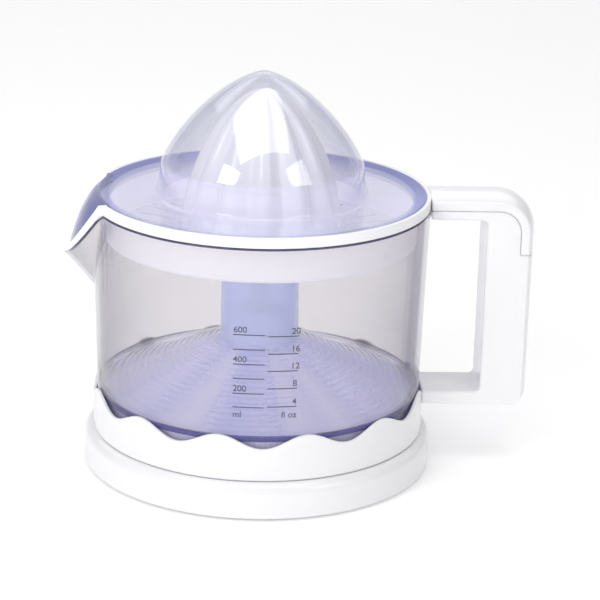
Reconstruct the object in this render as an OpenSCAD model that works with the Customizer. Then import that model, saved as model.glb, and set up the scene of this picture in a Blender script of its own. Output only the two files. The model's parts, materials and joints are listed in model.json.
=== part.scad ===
// Electric citrus press with a clear jug, a strainer tray and a clear cover.
// Millimetres. +Z is up, z = 0 is the table, and the Z axis is the drive axis.
// +X points to the handle and -X to the pouring lip.

/* [Base] */
// Outer radius of the base
base_r = 79.2; // [79:0.1:79.4]
// Height of the base's lower tier
tier_h = 16.8; // [16.6:0.1:17.0]
// Radius of the tower that carries the drive shaft
tower_r = 12.8; // [12.4:0.1:13.2]
// Height of the tower's top above the table
tower_top = 71.5; // [70:0.5:73]
// Wall of the white mouldings
shell = 2.2; // [2:0.1:2.4]

/* [Jug] */
// Height of the jug's rim
rim_z = 121.5; // [121.3:0.1:121.7]
// Outer radius of the jug's wall at the rim
rim_r = 75.6; // [75.4:0.1:75.7]
// Outer radius of the jug's wall at the floor
foot_r = 73.5; // [73.3:0.1:73.5]
// Thickness of the jug's wall
jug_wall_t = 2.0; // [1.8:0.1:2.2]
// Height of the floor's outer edge
floor_z = 36.8; // [36.6:0.1:37]
// Rise of the floor from its edge to the column
floor_rise = 21.5; // [21:0.1:22]
// Outer radius of the column
column_r = 17.8; // [17.6:0.1:17.9]
// Number of waves round the skirt's upper edge
wave_count = 12; // [6:1:18]
// Half the height of a wave
wave_h = 2.95; // [1:0.05:3]
// Outer radius of the white skirt
skirt_r = 75.1; // [75:0.1:75.3]

/* [Pouring lip] */
// Distance of the lip's tip from the drive axis
lip_tip = 88.3; // [87.5:0.1:89]
// Height of the lip's tip
lip_tip_z = 97; // [96:0.5:98]
// Half the width of the lip where it leaves the rim
lip_half = 28.6; // [28:0.1:29]
// Height at which the lip's underside leaves the wall
lip_root_z = 80.6; // [79:0.2:82]

/* [Handle] */
// Width of the handle
handle_w = 27; // [25:0.5:28]
// Inner face of the upright bar
bar_in = 100.3; // [100:0.1:101]
// Edge of the upright bar's outer face
bar_out = 119.6; // [119:0.1:120]
// Swell of the outer face at its middle
crown = 3; // [2:0.1:3.4]
// Outer radius of the handle's top corner
corner_r = 16; // [14:0.5:17]

/* [Strainer, reamer and cover] */
// Outer radius of the strainer's wall
tray_r = 70; // [69.5:0.1:70.2]
// Underside of the strainer's floor
tray_z = 104.5; // [104:0.1:105]
// Top of the strainer's rim
tray_top = 126.3; // [126.2:0.1:126.6]
// Number of drain slots
slot_count = 36; // [24:2:40]
// Radius of the reamer's rim
reamer_r = 36; // [35:0.5:36.5]
// Top of the reamer
reamer_top = 173; // [172:0.5:174]
// Number of ribs on the reamer
rib_count = 12; // [8:1:14]
// Radius of the cover's neck at the brim
neck_r = 46.5; // [46:0.1:47]
// Height of the crease between neck and dome
crease_z = 139.5; // [139:0.5:140]
// Height of the cover's top
cover_top = 180.4; // [179.8:0.1:180.4]

/* [Drive] */
// Gear module
gear_m = 1; // [1:1:1]
// Teeth of each pinion
pinion_n = 14; // [14:1:14]
// Teeth of each large gear
wheel_n = 42; // [42:1:42]
// Travel of the reamer when fruit is pressed on it
press = 2; // [1:0.5:2]

/* [Hidden] */
$fn = 96;
e = 0.01;
centre = gear_m * (pinion_n + wheel_n) / 2;
motor_turn = 85.9;
idler_pos = [-centre, 0];
motor_pos = [-centre * (1 + cos(motor_turn)), centre * sin(motor_turn)];
can_r = 25;
pan_top = 4.2;
deck_z = 22.2;
floor_slope = floor_rise / 53.3;
lip_slope = (rim_z - lip_tip_z) / (lip_tip - 71.5);
feet = [for (a = [45:90:315]) [64 * cos(a), 64 * sin(a)]];
pan_screws = [for (a = [0:90:270]) [68 * cos(a), 68 * sin(a)]];
posts = [[10, -26], [-44, -20], [8, 26]];
spacers = [[-14, 27], [-14, -27], [18, 18]];
screw_r = 1.4;
white = [0.95, 0.95, 0.96];
tint = [0.66, 0.68, 0.88, 0.5];
clear = [0.85, 0.87, 0.88, 0.35];
steel = [0.62, 0.63, 0.65];
nylon = [0.9, 0.88, 0.8];
dark = [0.16, 0.16, 0.17];
copper = [0.72, 0.42, 0.22];

// Height of the jug floor's upper face at radius r.
function floor_at(r) = floor_z + (71.5 - r) * floor_slope;

// Outer radius of the dome at height z, above the crease.
function dome_at(z) = 50.25 * pow(1 - pow((z - 120.2) / 60.57, 1.695), 0.704);

// Outer radius of the reamer's body at height z.
function reamer_at(z) =
    reamer_r * pow(1 - pow((z - 110) / (reamer_top - 110), 1.7), 0.6);

// Outer radius of the jug's wall at height z.
function wall_at(z) =
    foot_r + (rim_r - foot_r) * (z - floor_z) / (rim_z - floor_z);

// Height of the sloping plane that the pouring lip ends on.
function lip_at(x) = rim_z - lip_slope * (-x - 71.5);

// An arc of points about [cx, cy].
function arc(cx, cy, r, a0, a1, n) =
    [for (i = [0:n]) let (a = a0 + (a1 - a0) * i / n) [cx + r * cos(a), cy + r * sin(a)]];

// A straight tube.
module tube(r_out, r_in, z0, z1) {
    translate([0, 0, z0])
        difference() {
            cylinder(r = r_out, h = z1 - z0);
            translate([0, 0, -e]) cylinder(r = r_in, h = z1 - z0 + 2 * e);
        }
}

// A disc, or a rod along Z.
module rod(r, z0, z1) {
    translate([0, 0, z0]) cylinder(r = r, h = z1 - z0);
}

// A pan-head screw whose head's underside is at z = 0 and whose shank goes down.
module screw(head_r, shank_r, length) {
    difference() {
        union() {
            cylinder(r = head_r, h = 1.8);
            translate([0, 0, -length]) cylinder(r = shank_r, h = length + e);
        }
        translate([-head_r * 0.7, -0.4, 1]) cube([head_r * 1.4, 0.8, 2]);
        translate([-0.4, -head_r * 0.7, 1]) cube([0.8, head_r * 1.4, 2]);
    }
}

// ---------------------------------------------------------------- gears

// Polar angle of an involute of base radius rb at radius r.
function involute(rb, r) =
    r <= rb ? 0 : let (a = acos(rb / r)) tan(a) * 180 / PI - a;

// Outline of an involute spur gear with n teeth of module m.
function gear_outline(n, m) =
    let (
        rp = n * m / 2,
        rb = rp * cos(25),
        ra = rp + 0.95 * m,
        rr = rp - 1.25 * m,
        radii = [rr, rb, (rb + rp) / 2, rp, (rp + ra) / 2, ra],
        half = [for (r = radii) 90 / n - 0.055 * 180 / PI / rp + involute(rb, rp) - involute(rb, r)]
    )
    [for (k = [0:n - 1])
        let (t = 360 * k / n)
        for (j = [0:11])
            let (i = j < 6 ? j : 11 - j, s = j < 6 ? -1 : 1, r = max(radii[i], rr))
            [r * cos(t + s * half[i]), r * sin(t + s * half[i])]];

// A spur gear, turned so that one tooth points at angle turn.
module spur(n, z0, z1, turn) {
    translate([0, 0, z0])
        rotate([0, 0, turn])
            linear_extrude(height = z1 - z0)
                polygon(gear_outline(n, gear_m));
}

// Turn of gear 2 that meshes with gear 1 across the direction phi.
function mesh_turn(n1, turn1, n2, phi) =
    phi + 180 + 360 / n2 * (0.5 - n1 * (turn1 - phi) / 360);

idler_small_turn = mesh_turn(wheel_n, 0, pinion_n, 180);
idler_big_turn = 0;
motor_pinion_turn = mesh_turn(wheel_n, idler_big_turn, pinion_n, 180 - motor_turn);

// ---------------------------------------------------------------- base

module rubber_feet() {
    color(dark)
        for (p = feet)
            translate(p) {
                rod(7.5, 0, 1.9);
                rod(2.9, 1.9 - e, 4.1);
            }
}

module base_pan() {
    color(white)
        difference() {
            union() {
                rod(base_r - shell - 0.3, 2, pan_top);
                tube(72.5, 71, pan_top - e, 7);
                translate(motor_pos) tube(can_r + 2, can_r + 0.3, pan_top - e, 8);
                for (p = posts)
                    translate(p) rod(3.5, pan_top - e, deck_z);
            }
            for (p = feet)
                translate(p) rod(3, 1, 5);
            for (p = pan_screws)
                translate(p) rod(1.8, 1, 8);
            for (p = posts)
                translate(p) rod(screw_r, 12, deck_z + 1);
            for (x = [-9:6:9])
                translate([x - 1, -58, 1]) cube([2, 22, 5]);
            translate([-7.5, 70, 2.9]) cube([15, 8, 6]);
        }
}

module base_screws() {
    color(steel)
        for (p = pan_screws)
            translate([p[0], p[1], 1.9])
                mirror([0, 0, 1]) translate([0, 0, -0.1]) screw(3.2, 1.4, 9);
}

module base_housing() {
    slope_top = function (r) floor_at(r) - 3.4;
    rim = base_r - 0.2;
    color(white)
        difference() {
            union() {
                rotate_extrude()
                    polygon(concat(
                        [[base_r - shell, 1.2], [base_r, 1.2], [base_r, 7]],
                        arc(rim - 5, tier_h - 5, 5, 5, 90, 8),
                        [
                            [69.6, tier_h],
                            [69.6, slope_top(69.6) - 1],
                            [68.6, slope_top(68.6)],
                            [tower_r + 1, slope_top(tower_r + 1)],
                            [tower_r, slope_top(tower_r) + 0.8],
                            [tower_r, tower_top - 1],
                            [tower_r - 1, tower_top],
                            [6.2, tower_top],
                            [6.2, 60],
                            [8.4, 60],
                            [8.4, tower_top - shell],
                            [tower_r - shell, tower_top - shell],
                            [tower_r - shell, slope_top(tower_r) - shell],
                            [67.4, slope_top(67.4) - 2.4],
                            [67.4, tier_h - shell]
                        ],
                        arc(rim - 5, tier_h - 5, 5 - shell, 90, 5, 8)
                    ));
                for (p = pan_screws)
                    translate(p) rod(3.6, 7.2, tier_h - 1);
            }
            for (p = pan_screws)
                translate(p) rod(1.45, 3, 12);
            translate([0, 60, 9]) rotate([-90, 0, 0]) cylinder(r = 6, h = 30);
        }
}

module cord_gland() {
    color(dark)
        translate([0, 0, 9])
            rotate([-90, 0, 0])
                difference() {
                    union() {
                        rod(4, 70.5, 83);
                        rod(5.9, 74, 79.6);
                        rod(5.2, 79.5, 81);
                    }
                    rod(2.6, 70, 84);
                }
}

// ---------------------------------------------------------------- motor

module motor_shell() {
    color(steel)
        translate(motor_pos) {
            tube(can_r, can_r - 1, 4.4, 20.4);
            tube(can_r - 1 + e, 1.56, 4.4, 5.4);
            tube(4, 1.56, 5.4 - e, 7);
            for (a = [0:90:270])
                rotate([0, 0, a]) {
                    rotate_extrude(angle = 34) translate([11.7, 5.4 - e]) square([1, 13]);
                }
        }
}

module motor_plate() {
    color(steel)
        translate(motor_pos) {
            tube(can_r, 3, 20.5, 21.7);
            tube(4.5, 1.56, 19.4, 22.1);
            for (a = [45:90:315])
                rotate([0, 0, a])
                    rotate_extrude(angle = 34) translate([11.7, 7.4]) square([1, 13.1 + e]);
        }
}

module coil_bobbin() {
    color(nylon)
        translate(motor_pos)
            rotate_extrude()
                polygon([
                    [12.9, 5.6], [23.4, 5.6], [23.4, 6.6], [13.9, 6.6], [13.9, 19.2],
                    [23.4, 19.2], [23.4, 20.2], [12.9, 20.2]
                ]);
}

module motor_coil() {
    color(copper)
        translate(motor_pos) tube(22.6, 14, 6.7, 19.1);
}

module rotor() {
    color(dark)
        translate(motor_pos) {
            tube(11.2, 1.5, 7.4, 19);
        }
}

module rotor_shaft() {
    color(steel)
        translate(motor_pos) rod(1.5, 5.1, 31.6);
}

module motor_pinion() {
    color(nylon)
        translate(motor_pos)
            difference() {
                spur(pinion_n, 24.6, 30.4, motor_pinion_turn);
                rod(1.5, 24, 31);
            }
}

// ---------------------------------------------------------------- gearbox

module gear_deck() {
    color(nylon)
        difference() {
            union() {
                rod(32, deck_z, deck_z + 1.6);
                translate(motor_pos) rod(can_r, deck_z, deck_z + 1.6);
                translate([-22, -4, 0]) rod(30, deck_z, deck_z + 1.6);
                for (p = spacers)
                    translate(p) rod(3, deck_z, 39.4);
                translate(idler_pos) rod(3.5, deck_z, 24.9);
            }
            rod(3.55, deck_z - 1, 30);
            translate(idler_pos) rod(1.5, deck_z - 1, 30);
            translate(motor_pos) rod(5, deck_z - 1, 30);
            for (p = posts)
                translate(p) rod(1.8, deck_z - 1, 30);
            for (p = spacers)
                translate(p) rod(screw_r, 30, 41);
        }
}

module gear_bridge() {
    color(nylon)
        difference() {
            union() {
                rod(30, 39.5, 41);
                translate([-14, 0, 0]) rod(30, 39.5, 41);
                translate(idler_pos) rod(3.5, 38, 39.5 + e);
            }
            rod(8.05, 38, 42);
            translate(idler_pos) rod(1.5, 37, 40.3);
            for (p = spacers)
                translate(p) rod(1.8, 39, 42);
        }
}

module gearbox_screws() {
    color(steel) {
        for (p = posts)
            translate([p[0], p[1], deck_z + 1.6]) screw(3, 1.35, 10);
        for (p = spacers)
            translate([p[0], p[1], 41]) screw(3, 1.35, 9);
    }
}

module idler_axle() {
    color(steel)
        translate(idler_pos) rod(1.5, deck_z, 40.2);
}

module idler_gear() {
    color(nylon)
        translate(idler_pos)
            difference() {
                union() {
                    spur(wheel_n, 25.2, 29.8, idler_big_turn);
                    spur(pinion_n, 29.8 - e, 37.6, idler_small_turn);
                }
                rod(1.55, 24, 39);
            }
}

module output_gear() {
    color(nylon)
        difference() {
            union() {
                spur(wheel_n, 31.2, 37, 0);
                rod(8, 31.2, 41.4);
                rod(4.8, 24.1, 31.2 + e);
            }
            rod(3.55, 24, 31.4);
            translate([0, 0, 31.3]) cylinder(r = 4.92, h = 12, $fn = 6);
            for (a = [0:60:300])
                rotate([0, 0, a]) translate([13.4, 0, 0]) rod(3, 31, 38);
        }
}

module drive_shaft() {
    color(steel)
        difference() {
            union() {
                translate([0, 0, 16]) cylinder(r1 = 1.5, r2 = 3.5, h = 2);
                rod(3.5, 18 - e, 33.6);
                translate([0, 0, 33.5]) cylinder(r = 4.85, h = 22.6, $fn = 6);
                rod(7.5, 56, 58);
                rod(5, 58 - e, 78);
                translate([0, 0, 78 - e]) cylinder(r1 = 5, r2 = 4.5, h = 2);
                rod(4.5, 80 - 2 * e, 110);
                translate([0, 0, 110 - e]) cylinder(r = 4.5, h = 30, $fn = 6);
            }
            tube(8, 2.8, 21.1, 22.1);
        }
}

module shaft_clip() {
    color(dark)
        difference() {
            tube(6, 2.85, 21.2, 22);
            translate([0, -2, 20]) cube([8, 4, 4]);
        }
}

module return_spring() {
    turns = 6;
    n = 20;
    k = 8;
    steps = turns * n;
    wire = 0.5;
    mean = 6.7;
    z0 = 41.4 + wire + 0.1;
    z1 = 56 - wire - 0.1;
    pts = [for (i = [0:steps])
        let (a = 360 * i / n, z = z0 + (z1 - z0) * i / steps)
        for (j = [0:k - 1])
            let (b = 360 * j / k, r = mean + wire * cos(b))
            [r * cos(a), r * sin(a), z + wire * sin(b)]];
    sides = [for (i = [0:steps - 1]) for (j = [0:k - 1])
        let (j2 = (j + 1) % k)
        [i * k + j, (i + 1) * k + j, (i + 1) * k + j2, i * k + j2]];
    color(steel)
        polyhedron(
            points = pts,
            faces = concat(
                sides,
                [[for (j = [0:k - 1]) j]],
                [[for (j = [k - 1:-1:0]) steps * k + j]]
            )
        );
}

module shaft_bush() {
    color(nylon) {
        tube(6.15, 5.05, 61, 72.1);
        tube(8, 5.05, 71.6, 72.8);
    }
}

// ---------------------------------------------------------------- switch

module switch_body() {
    color(dark)
        difference() {
            union() {
                translate([7, -3.2, pan_top]) cube([20, 6.4, 8.8]);
                for (y = [-3.2, 1.9])
                    translate([23.5, y, 12]) cube([3, 1.3, 4.2]);
            }
            translate([12, 0, 0]) rod(1.05, 7.5, 14);
            translate([25, 0, 14.6]) rotate([90, 0, 0]) cylinder(r = 0.65, h = 10, center = true);
        }
}

module switch_plunger() {
    color([0.75, 0.1, 0.1])
        translate([12, 0, 0]) rod(1, 9, 15.3);
}

module switch_lever() {
    color(steel)
        union() {
            translate([-2, -1.5, 15.4]) cube([26.4, 3, 0.5]);
            translate([24, -1.5, 14.6]) cube([1.8, 3, 1.3]);
            translate([25, 0, 14.6])
                rotate([90, 0, 0]) cylinder(r = 0.6, h = 6, center = true);
        }
}

// ---------------------------------------------------------------- jug

// The corners of the pouring lip's upper edge on one side, tip last.
function lip_edge(inset, drop) =
    let (t = lip_tip - inset, w = lip_half - inset)
    [
        [-70.4 + 0.2 * inset, w, rim_z - drop],
        [-71.5, w * 0.985, rim_z - drop],
        [-74.6 + inset * 0.6, w * 0.93, lip_at(-74.6) - drop],
        [-78.6 + inset * 0.8, w * 0.78, lip_at(-78.6) - drop],
        [-82.4 + inset, w * 0.55, lip_at(-82.4) - drop],
        [-85.6 + inset, w * 0.29, lip_at(-85.6) - drop],
        [-t, 1.2, lip_at(-lip_tip) - drop]
    ];

function mirror_y(pts) = [for (p = pts) [p[0], -p[1], p[2]]];

// The smallest convex solid round a list of points.
module skin(pts) {
    hull()
        polyhedron(points = pts, faces = [[for (i = [0:len(pts) - 1]) i]]);
}

// The solid under the pouring lip, grown inwards by inset and raised by lift.
module lip_block(inset, lift) {
    edge = lip_edge(inset, 0);
    pts = concat(
        edge,
        mirror_y(edge),
        [for (p = concat(edge, mirror_y(edge))) [p[0], p[1], p[2] + lift]],
        [
            [-74.2 + inset, 3, lip_root_z + inset],
            [-74.2 + inset, -3, lip_root_z + inset],
            [-60, 24 - inset, 110],
            [-60, -24 + inset, 110],
            [-60, 0, 84 + inset],
            [-60, lip_half - inset, rim_z + lift],
            [-60, -lip_half + inset, rim_z + lift]
        ]
    );
    skin(pts);
}

// Everything above the plane of the pouring lip, outside the round rim.
module above_lip() {
    translate([-71.5, 0, rim_z])
        rotate([0, -atan(lip_slope), 0])
            translate([-60, -40, 0]) cube([60, 80, 60]);
}

module jug_wall() {
    z0 = floor_z + 0.1;
    color(clear)
        difference() {
            union() {
                rotate_extrude($fn = 180)
                    polygon([
                        [wall_at(z0) - jug_wall_t, z0],
                        [wall_at(z0), z0],
                        [wall_at(rim_z - 4), rim_z - 4],
                        [rim_r, rim_z - 4],
                        [rim_r, rim_z],
                        [rim_r - jug_wall_t, rim_z]
                    ]);
                difference() {
                    lip_block(0, 0);
                    translate([0, 0, 60]) cylinder(r = 73.3, h = 80, $fn = 180);
                }
            }
            lip_block(2.2, 14);
            above_lip();
        }
}

module jug_floor() {
    ring_in = 70.6;
    color(tint)
        rotate_extrude($fn = 180)
            polygon([
                [73.3, floor_z],
                [71.5, floor_z],
                [column_r + 0.6, floor_at(column_r + 0.6)],
                [column_r + 0.1, floor_at(column_r) + 0.8],
                [column_r - 0.4, 109.5],
                [column_r - 1, 110],
                [column_r - 2.4, 110],
                [column_r - 1.8, floor_at(column_r) - 2.2],
                [ring_in - 0.4, floor_at(ring_in) - 2.4],
                [ring_in, floor_at(ring_in) - 3],
                [ring_in, 20],
                [72.7, 20],
                [72.7, 34.6],
                [73.3, 34.6]
            ]);
}

module jug_skirt() {
    n = 14;
    half = 180 / wave_count;
    mid = 34.75;
    z_wave = function (a) mid - wave_h * cos(wave_count * a);
    color(white)
        difference() {
            rotate_extrude($fn = 180)
                polygon([
                    [73.7, tier_h + 0.3],
                    [skirt_r - 0.4, tier_h + 0.3],
                    [skirt_r, tier_h + 0.7],
                    [skirt_r, mid + wave_h],
                    [73.7, mid + wave_h]
                ]);
            for (i = [0:wave_count - 1])
                rotate([0, 0, i * 2 * half])
                    translate([0, -70, 0])
                        rotate([90, 0, 0])
                            linear_extrude(height = 10)
                                polygon(concat(
                                    [for (j = [0:n])
                                        let (a = -half + 2 * half * j / n)
                                        [skirt_r * tan(a), z_wave(a)]],
                                    [
                                        [skirt_r * tan(half), 45],
                                        [-skirt_r * tan(half), 45]
                                    ]
                                ));
        }
}

// ---------------------------------------------------------------- handle

arm_top = 125.1;
arm_low = 117;
foot_top = 36;
foot_low = 30;
strip_split = 121.1;
strip_end = 101;
crown_r = (pow(handle_w / 2, 2) + crown * crown) / (2 * crown);
outer_x = bar_out + crown;
outer_z = arm_top + crown;
bend_r = corner_r + 1;
bend_x = outer_x - bend_r;
bend_z = outer_z - bend_r;

// Side outline of the whole handle.
module handle_outline() {
    difference() {
        polygon(concat(
            [[70, foot_low]],
            arc(outer_x - 4, foot_low + 4, 4, -90, 0, 6),
            arc(bend_x, bend_z, bend_r, 0, 90, 16),
            [[70, outer_z]]
        ));
        polygon(concat(
            [[60, foot_top]],
            arc(bar_in - 4, foot_top + 4, 4, -90, 0, 5),
            arc(bar_in - 6, arm_low - 6, 6, 0, 90, 6),
            [[60, arm_low]]
        ));
    }
}

// Side outline of the room that the cover strip fills, grown by gap.
module strip_outline(gap) {
    polygon(concat(
        [[60, strip_split - gap]],
        arc(bend_x, bend_z, strip_split - bend_z - gap, 90, 0, 10),
        [
            [bend_x + strip_split - bend_z - gap, strip_end - gap],
            [140, strip_end - gap],
            [140, 140],
            [60, 140]
        ]
    ));
}

// A side outline given a width, centred on the middle plane.
module across(width) {
    translate([0, width / 2, 0])
        rotate([90, 0, 0]) linear_extrude(height = width) children();
}

// The handle with its cover strip, swollen across its outer face.
module handle_blank() {
    w = handle_w;
    arm_axis = outer_z - crown_r;
    bar_axis = outer_x - crown_r;
    intersection() {
        across(w) handle_outline();
        union() {
            translate([60, 0, arm_axis]) rotate([0, 90, 0]) cylinder(r = crown_r, h = 80, $fn = 180);
            translate([60, -w, 0]) cube([80, 2 * w, arm_axis]);
        }
        union() {
            translate([bar_axis, 0, 20]) cylinder(r = crown_r, h = 120, $fn = 180);
            translate([60, -w, 20]) cube([bar_axis - 60, 2 * w, 120]);
        }
    }
}

module handle_body() {
    color(white)
        difference() {
            handle_blank();
            across(2 * handle_w) strip_outline(0.1);
            rod(skirt_r + 0.05, 0, 60);
            rod(rim_r + 0.05, 60, 121.4);
            rod(rim_r + 0.5, 121.3, 140);
        }
}

module handle_cover() {
    color(white)
        difference() {
            intersection() {
                handle_blank();
                across(2 * handle_w) strip_outline(0);
            }
            rod(rim_r + 0.5, 100, 140);
        }
}

// ---------------------------------------------------------------- strainer

module strainer_tray() {
    rim_in = rim_r - 2;
    chimney = 20.5;
    floor_t = 2;
    color(white)
        difference() {
            union() {
                difference() {
                    rotate_extrude($fn = 180)
                        polygon([
                            [tray_r - 0.8, tray_z],
                            [tray_r, tray_z + 0.8],
                            [tray_r, rim_z + 0.2],
                            [rim_r, rim_z + 0.2],
                            [rim_r, tray_top - 0.5],
                            [rim_r - 0.5, tray_top],
                            [rim_in, tray_top],
                            [rim_in, 123],
                            [tray_r - 1.6, 123],
                            [tray_r - 1.6, tray_z + floor_t],
                            [chimney, tray_z + floor_t],
                            [chimney, 114],
                            [9.2, 114],
                            [9.2, 110.8],
                            [11, 110.8],
                            [11, 112.2],
                            [chimney - 1.8, 112.2],
                            [chimney - 1.8, tray_z]
                        ]);
                    above_tray_lip();
                }
                tray_lip();
            }
            for (i = [0:slot_count - 1])
                rotate([0, 0, i * 360 / slot_count])
                    translate([41, -0.9, tray_z - 1]) cube([22, 1.8, floor_t + 2]);
        }
}

// The wedge of the round rim that gives way to the pouring lip.
module above_tray_lip() {
    translate([-70.3, -lip_half - 1, rim_z - 1]) mirror([1, 0, 0]) cube([20, 2 * lip_half + 2, 20]);
}

// The strip that follows the edge of the pouring lip.
module tray_lip() {
    outer = lip_edge(0, -0.2);
    inner = lip_edge(2.4, -0.2);
    high = [4.6, 4.6, 4.2, 3.4, 2.6, 1.9, 1.2];
    n = len(outer);
    low = [for (p = inner) min(rim_z, lip_at(p[0])) + 0.2];
    for (s = [1, -1]) {
        pts = [for (i = [0:n - 1])
            each [
                [outer[i][0], s * outer[i][1], outer[i][2]],
                [inner[i][0], s * inner[i][1], low[i]],
                [inner[i][0], s * inner[i][1], max(outer[i][2] + high[i], low[i] + 0.9)],
                [outer[i][0], s * outer[i][1], outer[i][2] + high[i]]
            ]];
        last = n * 4 - 4;
        faces = concat(
            [for (i = [0:n - 2]) for (j = [0:3])
                let (a = i * 4 + j, b = i * 4 + (j + 1) % 4)
                each [[a, b, b + 4], [a, b + 4, a + 4]]],
            [[2, 1, 0], [3, 2, 0], [last, last + 1, last + 2], [last, last + 2, last + 3]]
        );
        polyhedron(
            points = pts,
            faces = s < 0 ? faces : [for (f = faces) [f[2], f[1], f[0]]]
        );
    }
    tip = outer[n - 1];
    back = inner[n - 1][0];
    skin([for (y = [-1.3, 1.3]) each [
        [tip[0], y, tip[2]], [back, y, low[n - 1]],
        [back, y, low[n - 1] + 0.9], [tip[0], y, tip[2] + 1.2]
    ]]);
}

// ---------------------------------------------------------------- reamer

module reamer_bush() {
    color(nylon) {
        tube(9.15, 7.55, 109, 116.3);
        tube(11, 7.55, 116.2, 117.4);
    }
}

module reamer() {
    wall = 1.8;
    n = 18;
    top = reamer_top - 1.6;
    zs = [for (i = [0:n]) 110 + (top - 110) * sin(90 * i / n)];
    inner_top = top - 6;
    zi = [for (i = [0:n - 4]) 110 + (inner_top - 110) * sin(90 * i / (n - 4))];
    color([0.93, 0.94, 0.97, 0.85])
        difference() {
            union() {
                difference() {
                    union() {
                        rotate_extrude()
                            polygon(concat(
                                [[0, 110]],
                                [for (z = zs) [reamer_at(z) - 1.6, z]],
                                [[0, top]]
                            ));
                        for (i = [0:rib_count - 1])
                            rotate([0, 0, (i + 0.5) * 360 / rib_count])
                                rotate([90, 0, 0])
                                    linear_extrude(height = 1.6, center = true)
                                        polygon(concat(
                                            [[1, 113]],
                                            [for (z = [for (z = zs) if (z >= 113) z])
                                                [reamer_at(z), z]],
                                            [[1, top]]
                                        ));
                        tube(reamer_r + 1, reamer_r - 2, 110, 112);
                    }
                    rotate_extrude()
                        polygon(concat(
                            [[0, 109], [reamer_at(110) - 1.6 - wall, 109]],
                            [for (z = zi) [reamer_at(z) - 1.6 - wall * (1 + 0.3 * (z - 110) / 60), z]],
                            [[0, inner_top]]
                        ));
                }
                rod(10, 117.5, 120);
                rod(7.5, 108, inner_top + 1);
            }
            rod(4.62, 107, 110.4);
            translate([0, 0, 107]) cylinder(r = 4.58, h = 34.5, $fn = 6);
        }
}

// ---------------------------------------------------------------- cover

module dust_cover() {
    t = 1.8;
    n = 22;
    plate = 125.3;
    zs = [for (i = [0:n]) crease_z + (cover_top - crease_z) * sin(90 * i / n)];
    zi = [for (i = [0:n]) crease_z + (cover_top - 2.2 - crease_z) * sin(90 * i / n)];
    color(tint)
        union() {
            difference() {
                rotate_extrude($fn = 180)
                    polygon(concat(
                        [
                            [neck_r - t, 123.3],
                            [73.3, 123.3],
                            [73.3, 126.3],
                            [72.6, 126.3],
                            [68.8, plate],
                            [neck_r + 0.5, plate],
                            [neck_r, plate + 0.5]
                        ],
                        [for (z = zs) [max(0.02, dome_at(z)), z]],
                        [for (i = [n:-1:0]) [max(0.02, dome_at(zi[i]) - t), zi[i]]]
                    ));
                above_tray_lip_cover();
            }
            cover_tongue();
        }
}

// The sliver of the brim that gives way where the tongue starts.
module above_tray_lip_cover() {
    translate([-71.6, -lip_half - 1, 120]) mirror([1, 0, 0]) cube([20, 2 * lip_half + 2, 20]);
}

// The pointed tongue of the cover, lying in the pouring lip.
module cover_tongue() {
    edge = lip_edge(3, -0.8);
    n = len(edge);
    low = [for (i = [2:n - 1]) edge[i]];
    start = [[-70.35, 20.8, 123.5], [-71.7, 22.4, 123.4]];
    pts = concat(start, low);
    all = concat(pts, mirror_y(pts));
    skin(concat(all, [for (p = all) [p[0], p[1], p[2] + 1.7]]));
}

// ---------------------------------------------------------------- selection

rubber_feet();
base_pan();
base_screws();
base_housing();
cord_gland();
motor_shell();
motor_plate();
coil_bobbin();
motor_coil();
rotor();
rotor_shaft();
motor_pinion();
gear_deck();
gear_bridge();
gearbox_screws();
idler_axle();
idler_gear();
output_gear();
drive_shaft();
shaft_clip();
return_spring();
shaft_bush();
switch_body();
switch_plunger();
switch_lever();
jug_wall();
jug_floor();
jug_skirt();
handle_body();
handle_cover();
strainer_tray();
reamer_bush();
reamer();
dust_cover();
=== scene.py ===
"""Looks of the electric citrus press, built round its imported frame. Metres, +Z up."""

import json
import logging
import math
from dataclasses import dataclass
from enum import Enum
from typing import Sequence

import bmesh
import bpy
from bmesh.types import BMFace, BMVert, BMesh
from bpy.types import Material, Node, NodeSocket, Object
from mathutils import Matrix, Vector


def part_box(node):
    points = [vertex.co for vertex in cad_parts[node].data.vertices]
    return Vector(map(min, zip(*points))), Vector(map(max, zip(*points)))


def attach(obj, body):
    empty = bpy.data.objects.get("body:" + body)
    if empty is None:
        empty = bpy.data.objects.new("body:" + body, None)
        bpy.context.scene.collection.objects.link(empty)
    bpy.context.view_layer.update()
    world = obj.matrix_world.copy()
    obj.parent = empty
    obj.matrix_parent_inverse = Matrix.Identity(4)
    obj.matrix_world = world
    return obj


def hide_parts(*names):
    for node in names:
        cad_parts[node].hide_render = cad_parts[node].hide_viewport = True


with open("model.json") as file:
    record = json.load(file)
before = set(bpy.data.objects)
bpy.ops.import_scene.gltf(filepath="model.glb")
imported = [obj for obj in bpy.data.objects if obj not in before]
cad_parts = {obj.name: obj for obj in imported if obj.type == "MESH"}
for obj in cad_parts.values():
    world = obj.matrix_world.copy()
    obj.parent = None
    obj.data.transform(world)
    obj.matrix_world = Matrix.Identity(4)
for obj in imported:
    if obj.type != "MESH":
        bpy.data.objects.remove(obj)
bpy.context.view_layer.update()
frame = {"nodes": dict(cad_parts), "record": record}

MM = 0.001
TAU = 2 * math.pi
log = logging.getLogger("citrus_press")

Point = tuple[float, float]
Profile = Sequence[Point]
Color = tuple[float, float, float]
NO_GLOW: Color = (0.0, 0.0, 0.0)
# Outer radius of the ribbed ring under the jug, in millimetres.
FOOT_RING_R = 72.7


class Body(str, Enum):
    """Moving bodies that the visible pieces ride on."""

    BASE = "base"
    JUG = "jug"
    STRAINER = "strainer"
    REAMER = "reamer"
    COVER = "cover"


# ------------------------------------------------------------------ finishes


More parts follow.
